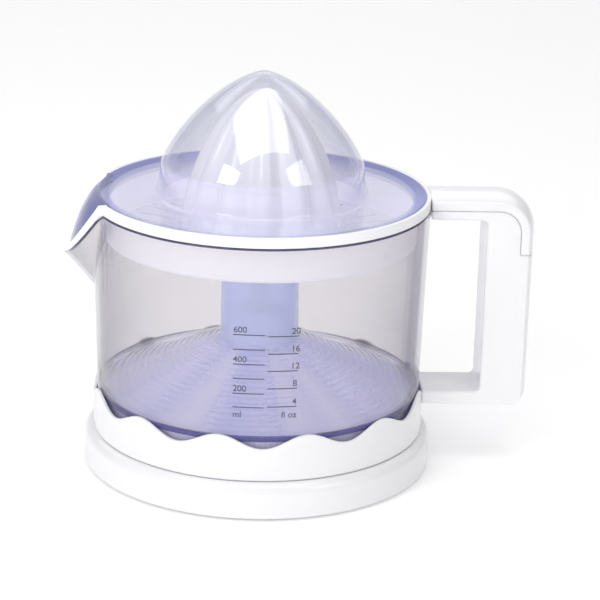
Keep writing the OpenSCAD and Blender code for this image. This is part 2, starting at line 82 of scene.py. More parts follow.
class Nodes:
    """Shorthand for building a node tree."""

    def __init__(self, name: str) -> None:
        """Start a material called name with an empty tree."""
        self.material = bpy.data.materials.new(name)
        self.material.use_nodes = True
        self.tree = self.material.node_tree
        self.tree.nodes.clear()
        self.out = self.add("ShaderNodeOutputMaterial")

    def add(self, kind: str, **values: object) -> Node:
        """Add a node.

        Args:
            kind: the node's type.
            values: attributes of the node, or socket values keyed in_NAME or in_NUMBER.

        Returns:
            The new node.
        """
        node = self.tree.nodes.new(kind)
        for key, value in values.items():
            if key.startswith("in_"):
                socket = key[3:]
                node.inputs[int(socket) if socket.isdigit() else socket].default_value = value
            else:
                setattr(node, key, value)
        return node

    def link(self, source: NodeSocket, target: NodeSocket) -> None:
        """Join two sockets."""
        self.tree.links.new(source, target)

    def math(self, operation: str, *values: object) -> NodeSocket:
        """Add a Math node fed by sockets or numbers, and return its result."""
        node = self.add("ShaderNodeMath", operation=operation)
        for i, value in enumerate(values):
            if isinstance(value, NodeSocket):
                self.link(value, node.inputs[i])
            else:
                node.inputs[i].default_value = float(value)
        return node.outputs[0]

    def noise(self, scale: float, detail: float = 3.0) -> NodeSocket:
        """Noise over object coordinates, about 0 to 1."""
        place = self.add("ShaderNodeTexCoord")
        node = self.add("ShaderNodeTexNoise", in_Scale=scale, in_Detail=detail)
        self.link(place.outputs["Object"], node.inputs["Vector"])
        return node.outputs["Fac"]

    def spread(self, source: NodeSocket, low: float, high: float) -> NodeSocket:
        """Stretch a 0 to 1 value to the range low to high."""
        node = self.add("ShaderNodeMapRange")
        self.link(source, node.inputs["Value"])
        node.inputs["To Min"].default_value = low
        node.inputs["To Max"].default_value = high
        return node.outputs[0]

    def bump(self, height: NodeSocket, strength: float, depth: float) -> NodeSocket:
        """A bump of the given depth in metres."""
        node = self.add("ShaderNodeBump", in_Strength=strength, in_Distance=depth)
        self.link(height, node.inputs["Height"])
        return node.outputs["Normal"]

    def shades(self, source: NodeSocket, low: Color, high: Color) -> NodeSocket:
        """Blend two colours by a 0 to 1 value."""
        node = self.add("ShaderNodeMix", data_type="RGBA")
        self.link(source, node.inputs["Factor"])
        node.inputs["A"].default_value = (*low, 1.0)
        node.inputs["B"].default_value = (*high, 1.0)
        return node.outputs["Result"]


class Finish(Enum):
    """Names of the finishes. A record slot takes the one of its name, blue_clear the dome's."""

    WHITE = "white_abs"
    STRAINER = "strainer_white"
    STRAINER_WALL_PAINTED_GLOW = "strainer_wall_painted_glow"
    REAMER = "reamer_white"
    INK = "print_ink"
    PAPER = "floor_paper"
    CLEAR = "clear_jug"
    CREASE_PAINTED_SHADE = "clear_jug_painted_crease_shade"
    RIM_PAINTED_DARK_LINE = "jug_rim_painted_dark_line"
    DOME = "blue_clear_dome"
    BRIM = "blue_clear_brim"
    RING = "blue_clear_ring"
    TONGUE = "blue_clear_tongue"
    FLOOR = "blue_clear_floor"
    COLUMN = "blue_clear_column"
    FOOT = "blue_clear_foot"
    FLOOR_EDGE = "blue_clear_edge"
    RUBBER = "rubber"
    STEEL = "steel"
    ZINC = "zinc"
    COPPER = "copper"
    NYLON = "nylon"
    BLACK = "black_plastic"
    MAGNET = "magnet"
    RED = "red_plastic"


@dataclass(frozen=True)
class Moulding:
    """An opaque moulded plastic, rubber or metal."""

    name: Finish
    color: Color
    shade: Color
    roughness: float = 0.25
    metallic: float = 0.0
    coat: float = 0.0
    grain: float = 900.0
    depth: float = 0.00002
    subsurface: float = 0.0
    # glow: emitted colour; painted light on the strainer wall and the reamer, an even brightening
    # of the paper floor.
    glow: Color = NO_GLOW

    def build(self) -> Material:
        """Make the material: mottled colour, uneven gloss and a fine moulded grain."""
        n = Nodes(self.name.value)
        shader = n.add(
            "ShaderNodeBsdfPrincipled",
            in_Metallic=self.metallic,
            **{"in_Coat Weight": self.coat, "in_Coat Roughness": 0.05},
        )
        # The glow is emission: painted light, except on the paper floor, where it evens the
        # backdrop.
        if any(self.glow):
            shader.inputs["Emission Color"].default_value = (*self.glow, 1.0)
            shader.inputs["Emission Strength"].default_value = 1.0
        if self.subsurface:
            shader.inputs["Subsurface Weight"].default_value = self.subsurface
            shader.inputs["Subsurface Radius"].default_value = (0.004, 0.004, 0.004)
        cloud = n.noise(28.0, 4.0)
        n.link(n.shades(cloud, self.color, self.shade), shader.inputs["Base Color"])
        rough = n.spread(n.noise(60.0, 5.0), self.roughness * 0.8, self.roughness * 1.2)
        n.link(rough, shader.inputs["Roughness"])
        n.link(n.bump(n.noise(self.grain, 2.0), 0.35, self.depth), shader.inputs["Normal"])
        n.link(shader.outputs[0], n.out.inputs["Surface"])
        return n.material


class Relief(Enum):
    """Fine relief moulded into a clear part."""

    PLAIN = "plain"
    RINGS = "rings"
    RIBS = "ribs"


@dataclass(frozen=True)
class ClearMoulding:
    """A clear moulded plastic, seen through unbent, deeper in colour where it's seen edge-on."""

    name: Finish
    face: Color
    edge: Color
    milk: Color = (0.9, 0.9, 0.95)
    haze: float = 0.05
    mirror: float = 0.035
    relief: Relief = Relief.PLAIN
    pitch: float = 0.0025
    # glow: emitted colour, painted light that makes the part look lit from within.
    glow: Color = NO_GLOW

    def pattern(self, n: Nodes) -> NodeSocket:
        """Height of the relief: rings about the axis, ribs round it, or a faint orange peel."""
        if self.relief is Relief.PLAIN:
            return n.noise(45.0, 2.0)
        place = n.add("ShaderNodeTexCoord")
        split = n.add("ShaderNodeSeparateXYZ")
        n.link(place.outputs["Object"], split.inputs[0])
        x, y = split.outputs[0], split.outputs[1]
        if self.relief is Relief.RINGS:
            squares = n.math("ADD", n.math("MULTIPLY", x, x), n.math("MULTIPLY", y, y))
            return n.math("SINE", n.math("MULTIPLY", n.math("SQRT", squares), TAU / self.pitch))
        ribs = round(TAU * FOOT_RING_R * MM / self.pitch)
        return n.math("SINE", n.math("MULTIPLY", n.math("ARCTAN2", y, x), ribs))

    def painted_sheen_rays(self, n: Nodes) -> NodeSocket:
        """Broad soft rays from the axis, 0 to 1: painted highlight and shade streaks along the
        floor's slope.
        """
        place = n.add("ShaderNodeTexCoord")
        flat = n.add("ShaderNodeVectorMath", operation="MULTIPLY")
        flat.inputs[1].default_value = (1.0, 1.0, 0.0)
        ray = n.add("ShaderNodeVectorMath", operation="NORMALIZE")
        cloud = n.add("ShaderNodeTexNoise", in_Scale=2.4, in_Detail=4.0)
        n.link(place.outputs["Object"], flat.inputs[0])
        n.link(flat.outputs[0], ray.inputs[0])
        n.link(ray.outputs[0], cloud.inputs["Vector"])
        contrast = n.math("MULTIPLY", n.math("SUBTRACT", cloud.outputs["Fac"], 0.35), 3.2)
        return n.math("MINIMUM", n.math("MAXIMUM", contrast, 0.0), 1.0)

    def build(self) -> Material:
        """Make the material from a tinted window, a little milk and a mirror coat."""
        n = Nodes(self.name.value)
        plain = self.relief is Relief.PLAIN
        facing = n.add("ShaderNodeLayerWeight", in_Blend=0.5)
        tint = n.shades(n.math("POWER", facing.outputs["Facing"], 2.2), self.face, self.edge)
        window = n.add("ShaderNodeBsdfTransparent")
        height = self.pattern(n)
        if plain:
            n.link(tint, window.inputs["Color"])
        else:
            # The relief is also painted into the window's colour: rib crests lighter, ring crests
            # darker, as painted highlight and shade.
            ribs = self.relief is Relief.RIBS
            strong, shade = (0.75, (0.98, 0.98, 1.0)) if ribs else (0.4, (0.78, 0.78, 0.92))
            crest = n.math("MULTIPLY", n.math("ADD", n.math("MULTIPLY", height, 0.5), 0.5), strong)
            lit = n.add("ShaderNodeMix", data_type="RGBA")
            n.link(crest, lit.inputs["Factor"])
            n.link(tint, lit.inputs["A"])
            lit.inputs["B"].default_value = (*shade, 1.0)
            n.link(lit.outputs["Result"], window.inputs["Color"])
        milk = n.add("ShaderNodeBsdfDiffuse", in_Color=(*self.milk, 1.0))
        # On ringed floors the milk is shaded between a deep and a pale colour by the rays: painted
        # highlight and shade.
        if self.relief is Relief.RINGS:
            pale = tuple(min(1.0, c * 1.2) for c in self.milk)
            deep = tuple(c * d for c, d in zip(self.milk, (0.55, 0.64, 0.92)))
            n.link(n.shades(self.painted_sheen_rays(n), deep, pale), milk.inputs["Color"])
        body = n.add("ShaderNodeMixShader")
        n.link(n.spread(n.noise(20.0, 3.0), self.haze * 0.85, self.haze * 1.15), body.inputs[0])
        n.link(window.outputs[0], body.inputs[1])
        n.link(milk.outputs[0], body.inputs[2])
        # The glow is added as emission: painted light.
        if any(self.glow):
            painted_glow = n.add("ShaderNodeEmission", in_Color=(*self.glow, 1.0), in_Strength=1.0)
            both = n.add("ShaderNodeAddShader")
            n.link(body.outputs[0], both.inputs[0])
            n.link(painted_glow.outputs[0], both.inputs[1])
            body = both
        mirror = n.add("ShaderNodeBsdfGlossy", in_Color=(1, 1, 1, 1), in_Roughness=0.04)
        grazing = n.add("ShaderNodeLayerWeight", in_Blend=0.5)
        share = n.math("POWER", grazing.outputs["Facing"], 5.0)
        share = n.math("ADD", n.math("MULTIPLY", share, 1 - self.mirror), self.mirror)
        normal = n.bump(height, 0.25, 0.00004) if plain else n.bump(height, 0.7, 0.0002)
        for node in (milk, mirror, grazing):
            n.link(normal, node.inputs["Normal"])
        surface = n.add("ShaderNodeMixShader")
        n.link(share, surface.inputs[0])
        n.link(body.outputs[0], surface.inputs[1])
        n.link(mirror.outputs[0], surface.inputs[2])
        n.link(surface.outputs[0], n.out.inputs["Surface"])
        return n.material


MOULDINGS = (
    Moulding(Finish.WHITE, (0.86, 0.86, 0.875), (0.84, 0.84, 0.86), 0.22, coat=0.25),
    Moulding(Finish.STRAINER, (0.92, 0.92, 0.94), (0.90, 0.90, 0.92), 0.25, coat=0.2),
    # The strainer's outer wall glows: painted light that brightens the wall under the rim's shade.
    Moulding(
        Finish.STRAINER_WALL_PAINTED_GLOW, (0.92, 0.92, 0.95), (0.90, 0.90, 0.94), 0.3, glow=(0.22, 0.215, 0.235)
    ),
    # The reamer's faint glow is painted light that brightens it under the dome.
    Moulding(
        Finish.REAMER,
        (0.95, 0.95, 0.985),
        (0.93, 0.93, 0.97),
        0.2,
        coat=0.5,
        subsurface=0.15,
        glow=(0.05, 0.05, 0.06),
    ),
    Moulding(Finish.INK, (0.08, 0.08, 0.12), (0.11, 0.11, 0.15), 0.5),
    Moulding(
        Finish.PAPER,
        (0.93, 0.93, 0.93),
        (0.92, 0.92, 0.92),
        0.9,
        grain=300,
        glow=(0.17, 0.17, 0.17),
    ),
    Moulding(Finish.RUBBER, (0.03, 0.03, 0.03), (0.05, 0.05, 0.05), 0.75, grain=500, depth=0.00006),
    Moulding(Finish.STEEL, (0.62, 0.63, 0.65), (0.5, 0.51, 0.53), 0.22, metallic=1.0, grain=400),
    Moulding(Finish.ZINC, (0.66, 0.67, 0.7), (0.56, 0.58, 0.62), 0.38, metallic=1.0, grain=260),
    Moulding(Finish.COPPER, (0.72, 0.33, 0.14), (0.62, 0.27, 0.1), 0.3, metallic=1.0, grain=700),
    Moulding(Finish.NYLON, (0.80, 0.77, 0.66), (0.76, 0.73, 0.61), 0.42),
    Moulding(Finish.BLACK, (0.03, 0.03, 0.035), (0.045, 0.045, 0.05), 0.4),
    Moulding(Finish.MAGNET, (0.06, 0.06, 0.065), (0.09, 0.09, 0.1), 0.55),
    Moulding(Finish.RED, (0.55, 0.04, 0.03), (0.48, 0.03, 0.03), 0.35),
)

CLEAR_MOULDINGS = (
    ClearMoulding(Finish.CLEAR, (0.918, 0.908, 0.916), (0.60, 0.59, 0.63), haze=0.02),
    # A darker tint in a band beside the lip's crease: painted shade at the fold.
    ClearMoulding(Finish.CREASE_PAINTED_SHADE, (0.80, 0.79, 0.82), (0.42, 0.42, 0.48), haze=0.03),
    # A dark tint along the rim's top: a painted dark line for the dark refraction seen in the clear
    # rim's edge.
    ClearMoulding(
        Finish.RIM_PAINTED_DARK_LINE, (0.14, 0.13, 0.22), (0.08, 0.08, 0.14), milk=(0.1, 0.1, 0.16), haze=0.5
    ),
    ClearMoulding(Finish.DOME, (0.965, 0.965, 0.982), (0.74, 0.76, 0.83), haze=0.02, mirror=0.07),
    ClearMoulding(
        Finish.BRIM, (0.965, 0.96, 0.99), (0.86, 0.86, 0.95), milk=(0.88, 0.87, 1.0), haze=0.14
    ),
    ClearMoulding(Finish.RING, (0.74, 0.76, 0.93), (0.46, 0.48, 0.80), haze=0.08),
    ClearMoulding(
        Finish.TONGUE,
        (0.28, 0.28, 0.60),
        (0.10, 0.10, 0.38),
        milk=(0.30, 0.31, 0.58),
        haze=0.55,
        mirror=0.03,
    ),
    # The blue floor's glow is painted light that brightens it in the strainer's shade.
    ClearMoulding(
        Finish.FLOOR,
        (0.96, 0.958, 1.0),
        (0.80, 0.80, 0.97),
        milk=(0.84, 0.85, 1.0),
        haze=0.3,
        relief=Relief.RINGS,
        pitch=0.0033,
        glow=(0.085, 0.08, 0.095),
    ),
    # The column's glow is painted light that brightens it inside the shaded jug.
    ClearMoulding(
        Finish.COLUMN,
        (0.93, 0.94, 0.99),
        (0.60, 0.63, 0.84),
        milk=(0.77, 0.81, 0.99),
        haze=0.42,
        glow=(0.035, 0.045, 0.085),
    ),
    ClearMoulding(
        Finish.FOOT, (0.90, 0.89, 0.98), (0.42, 0.40, 0.72), haze=0.12, relief=Relief.RIBS
    ),
    ClearMoulding(
        Finish.FLOOR_EDGE, (0.22, 0.20, 0.46), (0.13, 0.12, 0.34), milk=(0.14, 0.13, 0.32), haze=0.2
    ),
)


class Finishes:
    """Every finish of the press, made once."""

    def __init__(self) -> None:
        """Build the materials."""
        self.made = {kind.name: kind.build() for kind in MOULDINGS + CLEAR_MOULDINGS}

    def pick(self, *names: Finish) -> list[Material]:
        """Materials of the named finishes, in order."""
        return [self.made[name] for name in names]

    def of_slot(self, slot: str) -> Material:
        """The finish that a material slot of the record takes."""
        return self.made[Finish.DOME if slot == "blue_clear" else Finish(slot)]


# ------------------------------------------------------------------ mesh making


class Maker:
    """Turns a bmesh into a finished piece that rides on its body."""

    @staticmethod
    def lathe(bm: BMesh, profile: Profile, steps: int, closed: bool = True) -> None:
        """Spin a profile of (radius, height) points about Z.

        Args:
            bm: the mesh to add to.
            profile: points in millimetres, in order.
            steps: columns round the axis.
            closed: whether the last point joins the first.
        """
        before = set(bm.verts)
        verts = [bm.verts.new((r * MM, 0.0, z * MM)) for r, z in profile]
        pairs = list(zip(verts, verts[1:] + (verts[:1] if closed else [])))
        edges = [bm.edges.new(pair) for pair in pairs]
        bmesh.ops.spin(
            bm,
            geom=verts + edges,
            cent=(0, 0, 0),
            axis=(0, 0, 1),
            angle=TAU,
            steps=steps,
            use_merge=True,
        )
        fresh = [v for v in bm.verts if v not in before]
        bmesh.ops.remove_doubles(bm, verts=fresh, dist=0.00001)
        bare = [e for e in bm.edges if not e.link_faces]
        bmesh.ops.delete(bm, geom=bare, context="EDGES")

    @staticmethod
    def fresh(made: dict[str, list], kind: type) -> list:
        """The elements of one kind that a bmesh operator made."""
        return [g for g in made["geom"] if isinstance(g, kind)]

    @staticmethod
    def outward(bm: BMesh) -> None:
        """Turn every face outwards."""
        bmesh.ops.recalc_face_normals(bm, faces=bm.faces)

    @staticmethod
    def soften(bm: BMesh, crease: float) -> None:
        """Shade smooth, but keep edges sharper than crease degrees."""
        limit = math.radians(crease)
        for face in bm.faces:
            face.smooth = True
        for edge in bm.edges:
            sharp = len(edge.link_faces) == 2 and edge.calc_face_angle(0.0) > limit
            edge.smooth = not sharp

    @staticmethod
    def piece(
        bm: BMesh,
        name: str,
        body: Body,
        materials: Sequence[Material],
        slot: str,
        stands_for: Sequence[str] = (),
    ) -> Object:
        """Finish a bmesh as a piece.

        Args:
            bm: the mesh, which is freed.
            name: the piece's name.
            body: the body that it rides on.
            materials: its material slots.
            slot: the record's material slot; not used.
            stands_for: the CAD nodes that it replaces.

        Returns:
            The new object.
        """
        mesh = bpy.data.meshes.new(name)
        bm.to_mesh(mesh)
        bm.free()
        for material in materials:
            mesh.materials.append(material)
        obj = bpy.data.objects.new(name, mesh)
        bpy.context.scene.collection.objects.link(obj)
        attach(obj, body.value)
        if stands_for:
            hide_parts(*stands_for)
        log.info("%s: %d faces on %s", name, len(mesh.polygons), body.value)
        return obj

    @staticmethod
    def arc(cx: float, cy: float, r: float, start: float, end: float, n: int) -> list[Point]:
        """Points of an arc in degrees, both ends included."""
        out = []
        for i in range(n + 1):
            a = math.radians(start + (end - start) * i / n)
            out.append((cx + r * math.cos(a), cy + r * math.sin(a)))
        return out

    @staticmethod
    def line(a: Point, b: Point, n: int) -> list[Point]:
        """Points from a up to but not including b."""
        return [(a[0] + (b[0] - a[0]) * i / n, a[1] + (b[1] - a[1]) * i / n) for i in range(n)]


@dataclass
class PouringLip:
    """The pouring lip's shape, shared by the jug, the strainer's strip and the cover's tongue."""

    half_turn: float = 22.0
    rim_r: float = 75.6
    tip_r: float = 88.3
    rim_z: float = 121.5
    root_z: float = 80.6
    start_x: float = 71.5
    slope: float = 1.458

    def reach(self, turn: float) -> float:
        """Radius of the lip's outer edge at turn degrees from its middle."""
        t = min(abs(turn) / self.half_turn, 1.0)
        swell = (1 - t) ** 0.8 * 0.42 + (1 - t**3) * 0.58
        return self.rim_r + (self.tip_r - self.rim_r) * swell

    def edge(self, turn: float, inset: float = 0.0) -> Vector:
        """A point on the lip's edge, in millimetres.

        Args:
            turn: degrees from the lip's middle.
            inset: distance inwards.

        Returns:
            The point in the press's frame, where the lip points along -X.
        """
        a = math.radians(turn)
        r = self.reach(turn)
        x, y = r * math.cos(a), r * math.sin(a)
        z = self.rim_z - self.slope * max(0.0, x - self.start_x)
        blend = min(1.0, (self.half_turn - abs(turn)) / 2.0)
        z = self.rim_z + (z - self.rim_z) * max(0.0, blend)
        k = (r - inset) / r
        return Vector((-x * k, y * k, z))

    def low(self, turn: float) -> float:
        """Height at which the lip leaves the wall."""
        t = min(abs(turn) / self.half_turn, 1.0)
        return self.root_z + (self.rim_z - self.root_z) * t**1.15

    def strip_height(self, turn: float) -> float:
        """Height of the strainer's strip over the lip's edge."""
        return 4.6 - 3.4 * min(1.0, (1 - abs(turn) / self.half_turn) * 1.05)

    def turn_of(self, v: Vector) -> float:
        """Degrees of a point from the lip's middle plane."""
        return math.degrees(math.atan2(v.y, -v.x))


# ------------------------------------------------------------------ sub-assemblies


@dataclass
class BaseUnit:
    """The white base: tier, plinth, sloping deck and tower."""

    finishes: Finishes
    tier_z: float = 16.8
    tower_top: float = 71.5
    steps: int = 180

    def build(self) -> None:
        """Spin the housing's skin, open below."""
        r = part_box("base_housing")[1].x / MM
        shell = 2.2
        bm = bmesh.new()
        profile: list[Point] = [(r - shell, 1.2), (r - 0.7, 1.2)]
        profile += Maker.arc(r - 0.7, 1.9, 0.7, -90, 0, 4)[1:]
        profile += Maker.line((r, 3.0), (r, self.tier_z - 5), 4)
        profile += Maker.arc(r - 5, self.tier_z - 5, 5, 0, 90, 12)
        profile += [(72.0, self.tier_z), (70.1, self.tier_z + 0.1), (69.6, self.tier_z + 0.7)]
        profile += [(69.6, 33.0), (69.3, 33.9), (68.6, 34.55)]
        profile += Maker.line((67.5, 35.0), (15.2, 56.1), 12)
        profile += [(14.0, 56.7), (13.1, 57.8), (12.8, 59.0), (12.8, 70.3)]
        profile += Maker.arc(11.8, self.tower_top - 1, 1, 0, 90, 4)
        profile += [(6.4, self.tower_top), (6.2, 71.2), (6.2, 60.0), (8.4, 60.0), (8.4, 69.3)]
        profile += [(10.6, 69.3), (10.6, 55.0), (67.4, 32.2), (67.4, 14.6), (r - 5, 14.6)]
        profile += [(r - shell, self.tier_z - 5)]
        Maker.lathe(bm, profile, self.steps)
        Maker.outward(bm)
        Maker.soften(bm, 40)
        white = self.finishes.pick(Finish.WHITE)
        Maker.piece(bm, "base_skin", Body.BASE, white, "white_abs", ["base_housing"])


@dataclass
class Jug:
    """The clear jug with its blue floor, white skirt and printed scale."""

    finishes: Finishes
    lip: PouringLip
    foot_r: float = 73.5
    floor_z: float = 36.8
    floor_r: float = 71.5
    floor_slope: float = 21.5 / 53.3
    column_r: float = 17.8
    wall_t: float = 2.0
    steps: int = 180
    waves: int = 12

    def wall_r(self, z: float) -> float:
        """Outer radius of the wall at height z."""
        return self.foot_r + (self.lip.rim_r - self.foot_r) * (z - self.floor_z) / (
            self.lip.rim_z - self.floor_z
        )

    def floor_at(self, r: float) -> float:
        """Height of the floor's upper face at radius r."""
        return self.floor_z + (self.floor_r - r) * self.floor_slope

    def build_wall(self) -> None:
        """Spin the clear wall, then draw the lip out of it."""
        lip = self.lip
        wear = [Finish.CLEAR, Finish.RIM_PAINTED_DARK_LINE, Finish.CREASE_PAINTED_SHADE]
        rows = 42
        top = lip.rim_z
        zs = [self.floor_z + 0.1 + (top - 0.8 - self.floor_z) * i / rows for i in range(rows + 1)]
        outer = [(self.wall_r(z), z) for z in zs]
        edge = Maker.arc(lip.rim_r - 0.6, top - 0.6, 0.6, 20, 90, 3)
        edge += Maker.arc(lip.rim_r - 1.4, top - 0.6, 0.6, 90, 160, 3)
        inner = [(self.wall_r(z) - self.wall_t, z) for z in reversed(zs)]
        bm = bmesh.new()
        Maker.lathe(bm, outer + edge + inner, self.steps)
        # Faces along the rim's top get the painted dark line that stands for the rim's dark
        # refraction.
        for face in bm.faces:
            mid = face.calc_center_median()
            turn = abs(lip.turn_of(mid))
            drop = 0.25 if turn < lip.half_turn else 0.85
            if mid.z > (top - drop) * MM:
                face.material_index = wear.index(Finish.RIM_PAINTED_DARK_LINE)
            # Faces beside the lip's crease get the darker tint, painted shade.
            elif lip.half_turn - 2 < turn < lip.half_turn and mid.z > (lip.root_z + 4) * MM:
                face.material_index = wear.index(Finish.CREASE_PAINTED_SHADE)
        for v in bm.verts:
            turn = lip.turn_of(v.co)
            if abs(turn) >= lip.half_turn:
                continue
            low = lip.low(turn)
            r, z = v.co.xy.length / MM, v.co.z / MM
            if z <= low:
                continue
            inset = self.wall_r(z) - r
            share = (z - low) / (top - low)
            a = math.radians(turn)
            foot = Vector((-math.cos(a), math.sin(a), 0)) * self.wall_r(low)
            foot.z = low
            tip = lip.edge(turn)
            swell = share**1.1
            point = foot.lerp(tip, share)
            point.x = foot.x + (tip.x - foot.x) * swell
            point.y = foot.y + (tip.y - foot.y) * swell
            radial = Vector((point.x, point.y, 0)).normalized()
            v.co = (point - radial * inset) * MM
        Maker.outward(bm)
        Maker.soften(bm, 38)
        clear = self.finishes.pick(*wear)
        Maker.piece(bm, "jug_clear_wall", Body.JUG, clear, "clear_jug", ["jug_wall"])

    def build_floor(self) -> None:
        """Spin the blue floor with its column, edge and ribbed foot ring."""
        bm = bmesh.new()
        col = self.column_r
        profile: list[Point] = [(73.3, self.floor_z - 0.3), (73.0, self.floor_z)]
        profile += Maker.line((71.8, self.floor_z), (20.4, self.floor_at(20.4)), 16)
        profile += Maker.arc(col + 2.2, self.floor_at(20.4) + 2.4, 2.2, 245, 180, 5)
        profile += Maker.line((col - 0.05, 62), (col - 0.4, 109.3), 8)
        profile += Maker.arc(col - 1.1, 109.3, 0.7, 0, 180, 6)
        profile += Maker.line((col - 1.8, 109), (col - 1.8, 56.5), 8)
        profile += [(col - 1.0, self.floor_at(col) - 2.2)]
        under = [(r, self.floor_at(r) - 2.3) for r in (col + 2, 70.0)]
        profile += Maker.line(under[0], under[1], 12)
        profile += [(70.6, 33.9), (70.6, 20.4), (71.0, 20.0), (72.3, 20.0)]
        profile += [(FOOT_RING_R, 20.4), (FOOT_RING_R, 34.6), (73.1, 34.6), (73.3, 34.9)]
        Maker.lathe(bm, profile, self.steps)
        Maker.outward(bm)
        wear = [Finish.FLOOR, Finish.FOOT, Finish.FLOOR_EDGE, Finish.COLUMN]
        for face in bm.faces:
            mid = face.calc_center_median() / MM
            r = mid.xy.length
            if r > 72.9 or (r > 71.4 and mid.z > 36.4):
                face.material_index = wear.index(Finish.FLOOR_EDGE)
            elif mid.z < 35 and r > 70.3:
                face.material_index = wear.index(Finish.FOOT)
            elif r < col + 1.0:
                face.material_index = wear.index(Finish.COLUMN)
        Maker.soften(bm, 38)
        blue = self.finishes.pick(*wear)
        Maker.piece(bm, "jug_blue_floor", Body.JUG, blue, "blue_clear", ["jug_floor"])

    def build_skirt(self) -> None:
        """Spin the white skirt and wave its upper edge."""
        low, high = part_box("jug_skirt")
        r, z0 = high.x / MM, low.z / MM
        mid, swing = 34.75, 2.95
        bm = bmesh.new()
        profile: list[Point] = [(73.7, z0), (r - 0.5, z0), (r, z0 + 0.5)]
        profile += Maker.line((r, z0 + 2), (r, mid - 1), 6)
        profile += [(r, mid - 0.35), (r - 0.1, mid - 0.1), (r - 0.35, mid)]
        profile += [(74.0, mid), (73.7, mid - 0.3)]
        Maker.lathe(bm, profile, 2 * self.steps)
        for v in bm.verts:
            z = v.co.z / MM
            turn = math.atan2(v.co.x, -v.co.y)
            share = max(0.0, (z - z0 - 4) / (mid - z0 - 4)) if z < mid else 1.0
            v.co.z += -swing * math.cos(self.waves * turn) * share * MM
        Maker.outward(bm)
        Maker.soften(bm, 38)
        white = self.finishes.pick(Finish.WHITE)
        Maker.piece(bm, "jug_white_skirt", Body.JUG, white, "white_abs", ["jug_skirt"])

    def build_scale(self) -> None:
        """Print the volume scale on the wall's front: marks, numbers and units."""
        bm = bmesh.new()
        left = [83.5, 76.9, 70.2, 63.7, 56.9, 50.6]
        right = [83.0, 75.1, 67.3, 59.3, 51.0]
        for z in left:
            self.mark(bm, -10.4, 0.0, z)
        for z in right:
            self.mark(bm, 1.1, 11.0, z)
        words = [("600", -10.4, 84.5), ("400", -10.4, 71.2), ("200", -10.4, 57.9)]
        words += [("ml", -10.4, 46), ("20", 8.6, 84.0), ("16", 8.6, 76.1), ("12", 8.6, 68.3)]
        words += [("8", 9.4, 60.3), ("4", 9.4, 52.0), ("fl oz", 5.8, 46)]
        for text, turn, z in words:
            self.letter(bm, text, turn, z, 2.9)
        bmesh.ops.remove_doubles(bm, verts=bm.verts, dist=0.000002)
        Maker.outward(bm)
        Maker.piece(bm, "volume_scale", Body.JUG, self.finishes.pick(Finish.INK), "clear_jug")

    def on_wall(self, turn: float, z: float, proud: float) -> Vector:
        """A point on the wall's front at turn degrees from -Y."""
        a = math.radians(turn)
        r = self.wall_r(z) + proud
        return Vector((r * math.sin(a), -r * math.cos(a), z)) * MM

    def mark(self, bm: BMesh, start: float, end: float, z: float) -> None:
        """One printed line from start to end degrees at height z."""
        made = bmesh.ops.create_grid(bm, x_segments=8, y_segments=1, size=0.5)["verts"]
        faces = list({f for v in made for f in v.link_faces})
        ring = bmesh.ops.extrude_face_region(bm, geom=faces)
        back = set(Maker.fresh(ring, BMVert))
        for v in list(made) + list(back):
            turn = start + (end - start) * (v.co.x + 0.5)
            v.co = self.on_wall(turn, z + v.co.y * 0.45, 0.12 if v in back else 0.02)

    def letter(self, bm: BMesh, text: str, turn: float, z: float, size: float) -> None:
        """Lay generic lettering on the wall.

        Args:
            bm: the mesh to add to.
            text: what it says.
            turn: degrees of its left end.
            z: height of its foot.
            size: height in millimetres.
        """
        curve = bpy.data.curves.new("lettering", "FONT")
        curve.body = text
        curve.size = size * 1.35
        curve.extrude = 0.05
        curve.offset = 0.03
        holder = bpy.data.objects.new("lettering", curve)
        mesh = bpy.data.meshes.new_from_object(holder)
        start = len(bm.verts)
        bm.from_mesh(mesh)
        bm.verts.ensure_lookup_table()
        for v in bm.verts[start:]:
            wide = math.degrees(v.co.x / self.wall_r(z))
            v.co = self.on_wall(turn + wide, z + v.co.y, 0.07 + v.co.z)
        bpy.data.objects.remove(holder)
        bpy.data.curves.remove(curve)
        bpy.data.meshes.remove(mesh)

    def build(self) -> None:
        """Build the jug's pieces."""
        self.build_wall()
        self.build_floor()
        self.build_skirt()
        self.build_scale()


